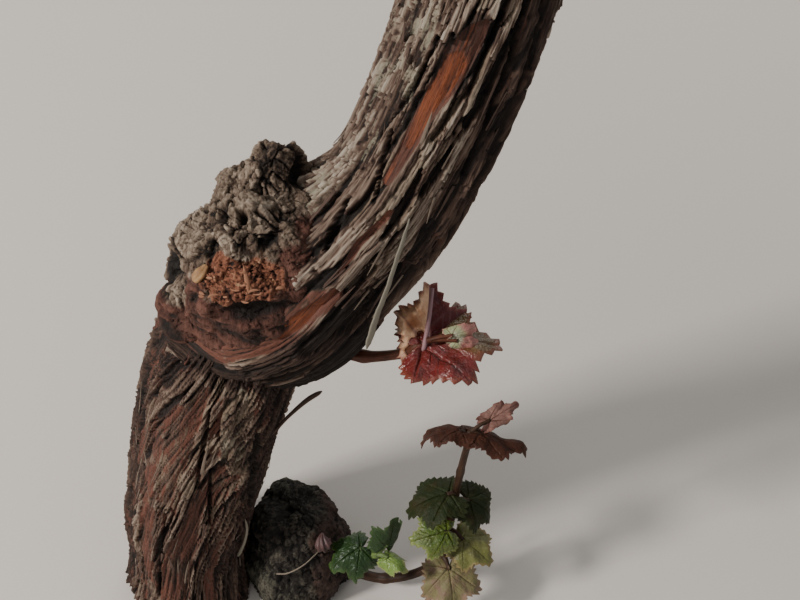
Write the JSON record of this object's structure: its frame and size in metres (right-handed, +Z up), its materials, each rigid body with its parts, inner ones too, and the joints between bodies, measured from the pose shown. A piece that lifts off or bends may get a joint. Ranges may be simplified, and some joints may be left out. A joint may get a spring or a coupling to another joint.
{
  "type": "grapevine",
  "caption": "Old leaning grapevine trunk with furrowed bark and a gnarled old head, young suckers low down and a goblet crown of leafy shoots.",
  "frame": {"origin": "middle of the flat cut under the trunk, at ground level", "axes": "+Z up, +X to the side that the trunk leans to, -Y the front that the picture shows"},
  "size_m": [0.6543, 0.6629, 0.9257],
  "materials": {
    "bark": "rough, furrowed, peeling in strips",
    "dark_bark": "rough, crumbling",
    "foliage": "satin green leaves",
    "red_foliage": "satin young red leaves",
    "olive_foliage": "satin young olive leaves"
  },
  "bodies": {
    "root": {"trunk": "bark", "arm_left": "bark", "arm_front": "bark", "arm_right": "bark", "arm_back_right": "bark", "arm_back_left": "bark", "arm_centre": "bark", "foot_shoulder": "dark_bark", "leaves_left": "foliage", "leaves_front": "foliage", "leaves_right": "foliage", "leaves_back_right": "foliage", "leaves_back_left": "foliage", "leaves_centre": "foliage", "sucker_red": "red_foliage", "sucker_tall": "olive_foliage", "sucker_green": "foliage"}
  },
  "joints": []
}
